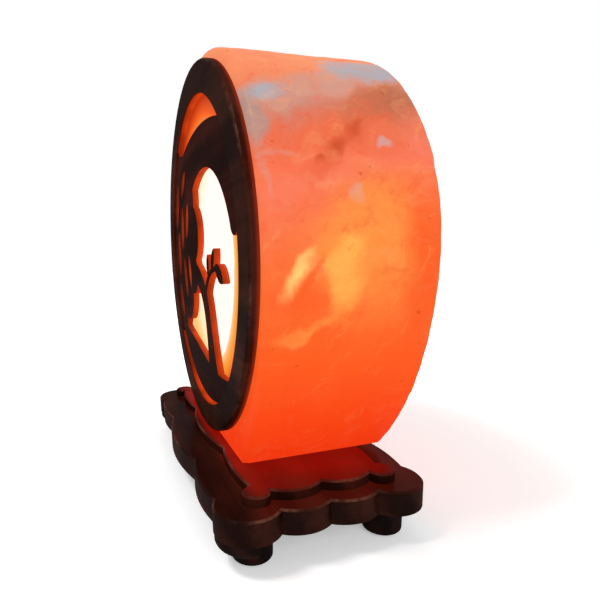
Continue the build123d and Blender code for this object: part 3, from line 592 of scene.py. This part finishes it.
def lit_hollows(tree, look, plain):
    """look as (own colour, glow), with the light of the hollows added.

    The flat front glows inside the ring's opening, by its distance from the ring's axis. The
    chamber's wall behind it blazes white, and the holder's bore is lit down from it.
    """
    axes = put(tree, "SeparateXYZ", {0: plain})
    squared_x = reckon(tree, "POWER", axes.outputs["X"], 2.0)
    axis_r = reckon(tree, "SQRT", reckon(tree, "MULTIPLY_ADD", axes.outputs["Z"], axes.outputs["Z"],
                                         squared_x))
    in_front = product(tree, spread(tree, axes.outputs["Y"], SALT_FRONT_Y + 0.012, SALT_FRONT_Y + 0.004),
                       spread(tree, axis_r, PANEL_OPENING_R + 0.03, PANEL_OPENING_R))
    rim = ramp(tree, axis_r, [(CHAMBER_R, (1.0, 0.80, 0.55)), (0.64, (1.0, 0.40, 0.05)),
                              (0.73, (0.96, 0.115, 0.010)), (0.80, (0.55, 0.040, 0.006))])
    look = mixed(tree, in_front, look, rim)
    own = mixed(tree, 1.0, look, 3 * (OWN_SHARE,), "MULTIPLY")
    glow = mixed(tree, 1.0, look, 3 * (GLOW_SHARE,), "MULTIPLY")

    inside = product(tree, spread(tree, axis_r, CHAMBER_R + 0.03, CHAMBER_R + 0.01),
                     spread(tree, axes.outputs["Y"], CHAMBER_BACK_Y + 0.03, CHAMBER_BACK_Y + 0.01))
    deep = reckon(tree, "MULTIPLY_ADD", axes.outputs["Y"], BLAZE_RISE, -BLAZE_RISE * CHAMBER_FRONT_Y,
                  clamp=True)
    blaze = ramp(tree, deep, [(0.0, (1.0, 0.42, 0.07)), (0.25, (1.0, 0.82, 0.45)),
                              (0.6, (1.0, 0.985, 0.93))])
    glow = mixed(tree, inside, glow, blaze)

    bore_r = length_of(tree, reckon_xyz(tree, "MULTIPLY", plain, (1.0, 1.0, 0.0)))
    in_bore = product(tree, spread(tree, bore_r, BORE_R + 0.015, BORE_R + 0.005),
                      spread(tree, axis_r, CHAMBER_R, CHAMBER_R + 0.02),
                      spread(tree, axes.outputs["Z"], BORE_TOP_Z, BORE_TOP_Z - 0.05))
    bore_glow = ramp(tree, product(tree, axes.outputs["Z"], -1.0), [
        (0.57, (1.0, 0.86, 0.52)), (0.70, (1.0, 0.45, 0.09)), (0.95, (0.85, 0.09, 0.010))])
    return own, mixed(tree, in_bore, glow, bore_glow)


def rock_salt():
    """Salt lit from within: pink and grey above, gold where the bulb stands behind the wall,
    red-orange below, with clouds and seams at their places and a white glow in the chamber."""
    material, tree, shader = finish_named("rock_salt", Emission_Strength=1.0, Specular_IOR_Level=0.0,
                                          Coat_Weight=0.07, Coat_Roughness=0.3)
    plain, ruffled, stirred = salt_place(tree)
    flattened = reckon_xyz(tree, "MULTIPLY", stirred, (1.0, 1.0, 2.2))
    wisps = mottle(tree, flattened, scale=6.0, detail=8.0, roughness=0.62)
    height = put(tree, "SeparateXYZ", {0: stirred}).outputs["Z"]
    look = ramp(tree, reckon(tree, "MULTIPLY_ADD", height, 0.5, 0.5, clamp=True), SALT_LAYERS)
    look = clouded(tree, look, ruffled, stirred, wisps)
    look = veined(tree, look, plain, stirred, wisps, height)
    own, glow = lit_hollows(tree, look, plain)
    tree.links.new(own, shader.inputs["Base Color"])
    tree.links.new(glow, shader.inputs["Emission Color"])
    sand = mottle(tree, plain, scale=60.0, detail=5.0, roughness=0.6)
    tree.links.new(spread(tree, sand, 0.3, 0.7, 0.36, 0.58), shader.inputs["Roughness"])
    raised(tree, shader, reckon(tree, "MULTIPLY_ADD", wisps, 1.6, sand), 0.0006, 0.6)
    return material


GRIND_CELL = 0.0013          # finest form the ground surface keeps
GRIND_DEEP = 0.00045         # depth of its hollows
CHIP_DEEP = 0.0006           # depth of the chips along its edges
SKIN_DEEP = 0.004            # the skin's points lie no deeper than this
WELD_GAP = 0.00001           # the solid's triangles meet within this
LONG_RIPPLE, SHORT_RIPPLE, CHIP_RIPPLE = 0.030, 0.009, 0.016
RIPPLE_WAVES = 9


def added(name, data):
    """New object of that data, in the scene."""
    thing = bpy.data.objects.new(name, data)
    bpy.context.scene.collection.objects.link(thing)
    return thing


def ripples(points, pitch, count, seed):
    """Smooth noise about 0 at each point: the sum of count sine waves, over the root of count.
    Their directions and starts are seeded, and each is about pitch long."""
    dice = np.random.default_rng(seed)
    ways = dice.normal(size=(count, 3))
    ways /= np.linalg.norm(ways, axis=1, keepdims=True)
    lengths = pitch * dice.uniform(0.7, 1.5, count)
    waves = points @ (ways / lengths[:, None]).T * 2 * np.pi + dice.uniform(0, 2 * np.pi, count)
    return np.sin(waves).sum(axis=1) / count ** 0.5


def ground_block():
    """The drum's solid closed and evened to small cells, then hollowed by hand grinding.

    Each point of the round skin and of the back moves inwards along its own normal by a mix
    of long and short ripples. Where two such faces meet, the edge loses more, as chips where a
    third ripple is high. The chamber, the bore, the foot and the ring's seat stay as they are.
    """
    block = added("salt_block", nodes["salt_drum"].data.copy())
    weld = block.modifiers.new("weld", "WELD")
    weld.merge_threshold = WELD_GAP
    even = block.modifiers.new("even", "REMESH")
    even.mode = "VOXEL"
    even.voxel_size = GRIND_CELL
    made = bpy.data.meshes.new_from_object(block.evaluated_get(bpy.context.evaluated_depsgraph_get()))
    block.modifiers.clear()
    block.data = made
    count = len(made.vertices)
    points = np.empty(count * 3, dtype=np.float32)
    normals = np.empty(count * 3, dtype=np.float32)
    made.vertices.foreach_get("co", points)
    made.vertices.foreach_get("normal", normals)
    points = points.reshape(-1, 3).astype(float)
    normals = normals.reshape(-1, 3).astype(float)
    radius = np.hypot(points[:, 0], points[:, 2] - RING_CENTRE_Z)
    below_skin = SALT_HIGH.x - radius
    below_back = SALT_HIGH.y - points[:, 1]
    above_foot = points[:, 2] - SALT_LOW.z
    behind_seat = points[:, 1] - SALT_LOW.y
    skin = np.clip(1 - below_skin / SKIN_DEEP, 0, 1)
    back = np.clip(1 - below_back / SKIN_DEEP, 0, 1)
    held = np.clip(np.minimum(above_foot, behind_seat) / SKIN_DEEP, 0, 1)
    wavy = (0.55 + 0.25 * ripples(points, LONG_RIPPLE, RIPPLE_WAVES, seed=3)
            + 0.20 * ripples(points, SHORT_RIPPLE, RIPPLE_WAVES, seed=5))
    chips = np.clip(ripples(points, CHIP_RIPPLE, RIPPLE_WAVES, seed=7) - 0.45, 0, 1) * skin * back
    ground = np.maximum(skin, back) * held * GRIND_DEEP * np.clip(wavy, 0.1, 1.4)
    inwards = ground + held * CHIP_DEEP * chips
    points -= normals * inwards[:, None]
    made.vertices.foreach_set("co", points.ravel())
    made.update()
    made.shade_smooth()
    made.materials.clear()
    made.materials.append(rock_salt())
    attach(block, "lamp")
    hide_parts("salt_drum")


ground_block()


# --- Front ring and fretwork --------------------------------------------------------------
# A flat ring of dark hardwood, pinned to the salt, holds a thin sawn panel in a rebate: a
# tree bent by the wind over its mound. Sawn edges catch the light from the chamber.

PANEL_FRONT_Y = -0.0318      # the panel's two faces
PANEL_BACK_Y = -0.0284
RING_MIDDLE_R = 0.086        # between the ring's opening and its outer edge
SHADED_X = -0.035            # the panel's far side, which the camera sees past the crown


def lit_cut_edges(tree):
    """Orange light on the sawn edges of the panel, which face neither front nor back."""
    normal = facing_of(tree, "Y")
    edge = spread(tree, reckon(tree, "ABSOLUTE", normal), 0.7, 0.3)
    place = spot_of(tree)
    back = spread(tree, place.outputs["Y"], PANEL_FRONT_Y, PANEL_BACK_Y, 0.60, 1.0)
    shaded = spread(tree, place.outputs["X"], SHADED_X - 0.010, SHADED_X + 0.010, 0.5, 1.0)
    patchy = mottle(tree, place_of(tree), scale=70.0, detail=3.0)
    amount = product(tree, edge, back, shaded, spread(tree, patchy, 0.30, 0.62, 0.70, 1.05))
    return mixed(tree, amount, (0.0, 0.0, 0.0), (0.68, 0.050, 0.005))


def lit_ring_edges(tree):
    """Red light on the back half of the ring's outer edge, beside the salt, and a trace on
    the edge of its opening."""
    normal = facing_of(tree, "Y")
    edge = spread(tree, reckon(tree, "ABSOLUTE", normal), 0.8, 0.3)
    place = spot_of(tree)
    up = reckon(tree, "SUBTRACT", place.outputs["Z"], RING_CENTRE_Z)
    across = reckon(tree, "POWER", place.outputs["X"], 2.0)
    radius = reckon(tree, "SQRT", reckon(tree, "MULTIPLY_ADD", up, up, across))
    middle_y = (RING_LOW.y + RING_HIGH.y) / 2
    outer = product(tree, edge, spread(tree, radius, RING_MIDDLE_R, RING_MIDDLE_R + 0.004),
                    spread(tree, place.outputs["Y"], middle_y, RING_HIGH.y, 0.08, 1.0))
    lip = product(tree, edge, spread(tree, radius, RING_MIDDLE_R, RING_MIDDLE_R - 0.002))
    colour = mixed(tree, outer, (0.0, 0.0, 0.0), (0.22, 0.015, 0.003))
    return mixed(tree, lip, colour, (0.045, 0.004, 0.001))


ring_wood = stained_wood("ring_wood", (0.014, 0.0035, 0.0020), (0.042, 0.0110, 0.0060), bands=55.0, coat=0.03,
                         faces="Y", wear_and_highlight=0.25, glow=lit_ring_edges)
fret_wood = stained_wood("fretwork_wood", (0.016, 0.0035, 0.0020), (0.042, 0.0080, 0.0045), bands=55.0,
                         coat=0.02, faces="Y", wear_and_highlight=0.0, glow=lit_cut_edges)
clothe(ring_wood, "front_ring")
clothe(fret_wood, "fretwork_panel")


# --- Lamp holder --------------------------------------------------------------------------
# A black moulded holder hangs in the bore from its end cap, with a ceramic terminal block,
# brass sleeve and contact, and a steel band whose two sprung wings grip the bore.

holder_black = moulded("holder_black", (0.020, 0.020, 0.021), rough=0.45)
clothe(holder_black, "holder_body", "holder_end_cap")
clothe(moulded("gland_rubber", (0.012, 0.012, 0.012), rough=0.75), "cord_gland")


def glazed_ceramic():
    """Off-white glazed ceramic with a few dark specks."""
    material, tree, shader = finish_named("block_ceramic", Coat_Weight=0.6, Coat_Roughness=0.08)
    cells = put(tree, "TexVoronoi", {"Vector": place_of(tree), "Scale": 900.0}).outputs["Distance"]
    tree.links.new(mixed(tree, spread(tree, cells, 0.10, 0.02), (0.72, 0.70, 0.63), (0.25, 0.20, 0.15)),
                   shader.inputs["Base Color"])
    tree.links.new(spread(tree, cells, 0.0, 0.6, 0.20, 0.30), shader.inputs["Roughness"])
    return material


clothe(glazed_ceramic(), "terminal_block")
brass = plated_steel("contact_brass", (0.72, 0.50, 0.20), rough=0.25)
clothe(brass, "terminal_screws", "centre_contact", "threaded_sleeve")
spring_steel = plated_steel("spring_steel", (0.45, 0.45, 0.46), rough=0.35)
clothe(spring_steel, "wing_band", "spring_wing_left", "spring_wing_right")


# --- Bulb ---------------------------------------------------------------------------------
# A small clear pygmy bulb: blown glass cemented in a rolled metal cap, a glass stem with
# two leads and a glowing filament, and a lead-tin contact on a dark glass insulator.

def clear_glass(name, alpha, warm):
    """Thin clear glass, lit warm by the filament."""
    material, tree, shader = finish_named(name, Roughness=0.03, Specular_IOR_Level=0.6, Alpha=alpha,
                                          Emission_Strength=1.0)
    swirl = mottle(tree, place_of(tree), scale=90.0, detail=1.0)
    tree.links.new(mixed(tree, swirl, (1.0, 0.93, 0.80), (1.0, 0.97, 0.90)), shader.inputs["Base Color"])
    tree.links.new(mixed(tree, swirl, warm, toned(warm, 1.0, 0.9, 0.7)), shader.inputs["Emission Color"])
    return material


clothe(clear_glass("bulb_glass", 0.28, (0.9, 0.62, 0.32)), "bulb_glass")
clothe(clear_glass("stem_glass", 0.5, (0.5, 0.35, 0.2)), "bulb_stem")
clothe(plated_steel("cap_metal", (0.80, 0.79, 0.76), rough=0.22), "bulb_cap")
clothe(moulded("insulator_glass", (0.015, 0.012, 0.014), rough=0.15), "bulb_insulator")
clothe(plated_steel("contact_solder", (0.55, 0.55, 0.54), rough=0.5), "bulb_contact")
clothe(plated_steel("lead_wire", (0.62, 0.55, 0.48)), "bulb_leads")


def hot_filament():
    """Tungsten coil at white heat, its turns drawn as bands along X."""
    material, tree, shader = finish_named("filament", Roughness=0.5, Metallic=1.0, Emission_Strength=6.0)
    turns = put(tree, "TexWave", {"Vector": place_of(tree), "Scale": 900.0},
                bands_direction="X").outputs["Fac"]
    tree.links.new(mixed(tree, turns, (1.0, 0.50, 0.14), (1.0, 0.80, 0.45)), shader.inputs["Emission Color"])
    tree.links.new(mixed(tree, turns, (0.3, 0.3, 0.3), (0.5, 0.5, 0.5)), shader.inputs["Base Color"])
    return material


FILAMENT_LOW, FILAMENT_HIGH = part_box("bulb_filament")
COIL_SPAN = 0.010            # between the leads' tips
COIL_BOW = 0.003             # the coil's rise between them
COIL_R = 0.00036
COIL_WIRE_R = 0.00009
COIL_TURNS = 30
COIL_STEPS = 16              # points along the wire to a turn
WIRE_SIDES = 8


def wound_filament():
    """Tungsten wire wound in a fine helix about a bow between the leads.

    The bow is an arc of the circle through both tips and the crown; a point at angle a on it
    is the circle's centre plus its radius times (sin a, 0, cos a). The wire runs round the bow
    at COIL_R, and its skin is a ring of COIL_WIRE_R about the wire, square to it.
    """
    radius = ((COIL_SPAN / 2) ** 2 + COIL_BOW ** 2) / (2 * COIL_BOW)
    centre = np.array([0.0, 0.0, FILAMENT_HIGH.z - (FILAMENT_HIGH.y - FILAMENT_LOW.y) / 2 - radius])
    half = np.arcsin(COIL_SPAN / 2 / radius)
    along = np.linspace(0.0, 1.0, COIL_TURNS * COIL_STEPS + 1)
    angle = (2 * along - 1) * half
    turn = 2 * np.pi * COIL_TURNS * along
    outward = np.stack([np.sin(angle), 0 * angle, np.cos(angle)], axis=1)
    sideways = np.tile([0.0, 1.0, 0.0], (len(along), 1))
    radial = np.cos(turn)[:, None] * outward + np.sin(turn)[:, None] * sideways
    wire = centre + radius * outward + COIL_R * radial
    ahead = np.gradient(wire, axis=0)
    ahead /= np.linalg.norm(ahead, axis=1, keepdims=True)
    first = radial - (radial * ahead).sum(axis=1, keepdims=True) * ahead
    first /= np.linalg.norm(first, axis=1, keepdims=True)
    second = np.cross(ahead, first)
    round_wire = np.arange(WIRE_SIDES) * 2 * np.pi / WIRE_SIDES
    skin = wire[:, None] + COIL_WIRE_R * (np.cos(round_wire)[None, :, None] * first[:, None]
                                          + np.sin(round_wire)[None, :, None] * second[:, None])
    index = np.arange(len(along) * WIRE_SIDES).reshape(len(along), WIRE_SIDES)
    after = np.roll(index, -1, axis=1)
    quads = np.stack([index[:-1], after[:-1], after[1:], index[1:]], axis=-1).reshape(-1, 4)
    mesh = bpy.data.meshes.new("bulb_coil")
    mesh.from_pydata(skin.reshape(-1, 3).tolist(), [],
                     quads.tolist() + [index[0][::-1].tolist(), index[-1].tolist()])
    mesh.shade_smooth()
    coil = added("bulb_coil", mesh)
    mesh.materials.append(hot_filament())
    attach(coil, "bulb")
    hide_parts("bulb_filament")


wound_filament()


# --- Floor, light and camera --------------------------------------------------------------
# Pale paper lies flat under the feet, lit by three soft studio lamps and by the bulb itself,
# and is seen from where the photograph was taken.

FLOOR_REACH = 6.0
LIFT_FROM, LIFT_TO = 0.13, 0.36      # the paper's lift grows between these distances
LIFT_NEAR, LIFT_FAR = 0.33, 1.00     # from this strength to that
SKY_LIGHT = 0.40             # the world's strength on the object; it is 1 where it is seen


def seen_directly(tree):
    """1 for what the camera sees straight, in gloss or through glass, and 0 for other rays."""
    path = put(tree, "LightPath")
    indirect = reckon(tree, "MAXIMUM", path.outputs["Is Glossy Ray"], path.outputs["Is Transmission Ray"])
    return reckon(tree, "MAXIMUM", path.outputs["Is Camera Ray"], indirect)


def paper_floor():
    """One wide square under the feet: pale paper, lifted to white away from the lamp."""
    corners = FLOOR_REACH * np.array([[-1, -1, 0], [1, -1, 0], [1, 1, 0], [-1, 1, 0]])
    mesh = bpy.data.meshes.new("floor")
    mesh.from_pydata(corners.tolist(), [], [(0, 1, 2, 3)])
    floor = added("floor", mesh)
    material = bpy.data.materials.new("floor_paper")
    material.use_nodes = True
    tree = material.node_tree
    tree.nodes.clear()
    paper = put(tree, "BsdfDiffuse", {"Color": (0.86, 0.86, 0.86, 1)})
    rising = spread(tree, length_of(tree, place_of(tree)), LIFT_FROM, LIFT_TO, LIFT_NEAR, LIFT_FAR)
    lift = product(tree, seen_directly(tree), rising)
    lift = put(tree, "Emission", {"Color": (1, 1, 1, 1), "Strength": lift})
    both = put(tree, "AddShader", {0: paper.outputs[0], 1: lift.outputs[0]})
    out = put(tree, "OutputMaterial")
    tree.links.new(both.outputs[0], out.inputs["Surface"])
    mesh.materials.append(material)


paper_floor()


def soft_lamp(name, place, aim, size, power):
    """White square area lamp at place, turned to aim."""
    data = bpy.data.lights.new(name, "AREA")
    data.size = size
    data.energy = power
    turned = (Vector(aim) - Vector(place)).to_track_quat("-Z", "Y").to_matrix().to_4x4()
    added(name, data).matrix_world = Matrix.Translation(place) @ turned


MIDDLE = (0.0, 0.0, 0.11)    # the point that the studio lamps are turned to
soft_lamp("key_lamp", (0.05, -0.55, 1.00), MIDDLE, size=0.25, power=5.5)
soft_lamp("fill_lamp", (1.00, 0.00, 0.45), MIDDLE, size=0.8, power=6.0)
soft_lamp("back_lamp", (-0.80, 0.30, 0.80), MIDDLE, size=0.7, power=2.0)

glow = bpy.data.lights.new("bulb_light", "POINT")
glow.energy = 0.35
glow.color = (1.0, 0.50, 0.16)
glow.shadow_soft_size = 0.010
added("bulb_light", glow).location = (0.0, -0.018, RING_CENTRE_Z - 0.002)

world = bpy.data.worlds.new("studio")
world.use_nodes = True
sky = world.node_tree
sky.nodes.clear()
bright = reckon(sky, "MULTIPLY_ADD", seen_directly(sky), 1.0 - SKY_LIGHT, SKY_LIGHT)
air = put(sky, "Background", {"Color": (1, 1, 1, 1), "Strength": bright})
sky_out = put(sky, "OutputWorld")
sky.links.new(air.outputs[0], sky_out.inputs["Surface"])
bpy.context.scene.world = world


AZIMUTH = 1.284              # camera's bearing from -Y towards +X
ELEVATION = 0.187
ROLL = -0.034
CAMERA_AT = (0.2570, -0.0846, 0.1257)
PICTURE_PIXELS = 600.0       # the photograph's width and height
FOCAL_PIXELS = 461.775
CENTRE_PIXEL = (241.293, 348.881)
SENSOR_MM = 36.0


def photo_camera():
    """Camera with the photograph's bearing, tilt, focal length and off-centre frame."""
    back = Vector((sin(AZIMUTH) * cos(ELEVATION), -cos(AZIMUTH) * cos(ELEVATION), sin(ELEVATION)))
    right = (-back).cross(Vector((0, 0, 1))).normalized()
    up = right.cross(-back)
    across = cos(ROLL) * right + sin(ROLL) * up
    upright = cos(ROLL) * up - sin(ROLL) * right
    data = bpy.data.cameras.new("photo_camera")
    data.sensor_width = SENSOR_MM
    data.lens = FOCAL_PIXELS / PICTURE_PIXELS * SENSOR_MM
    data.shift_x = (PICTURE_PIXELS / 2 - CENTRE_PIXEL[0]) / PICTURE_PIXELS
    data.shift_y = (CENTRE_PIXEL[1] - PICTURE_PIXELS / 2) / PICTURE_PIXELS
    data.clip_start = 0.01
    camera = added("photo_camera", data)
    turned = Matrix((across, upright, back)).transposed().to_4x4()
    camera.matrix_world = Matrix.Translation(CAMERA_AT) @ turned
    bpy.context.scene.camera = camera


photo_camera()
bpy.context.scene.view_settings.view_transform = "Standard"
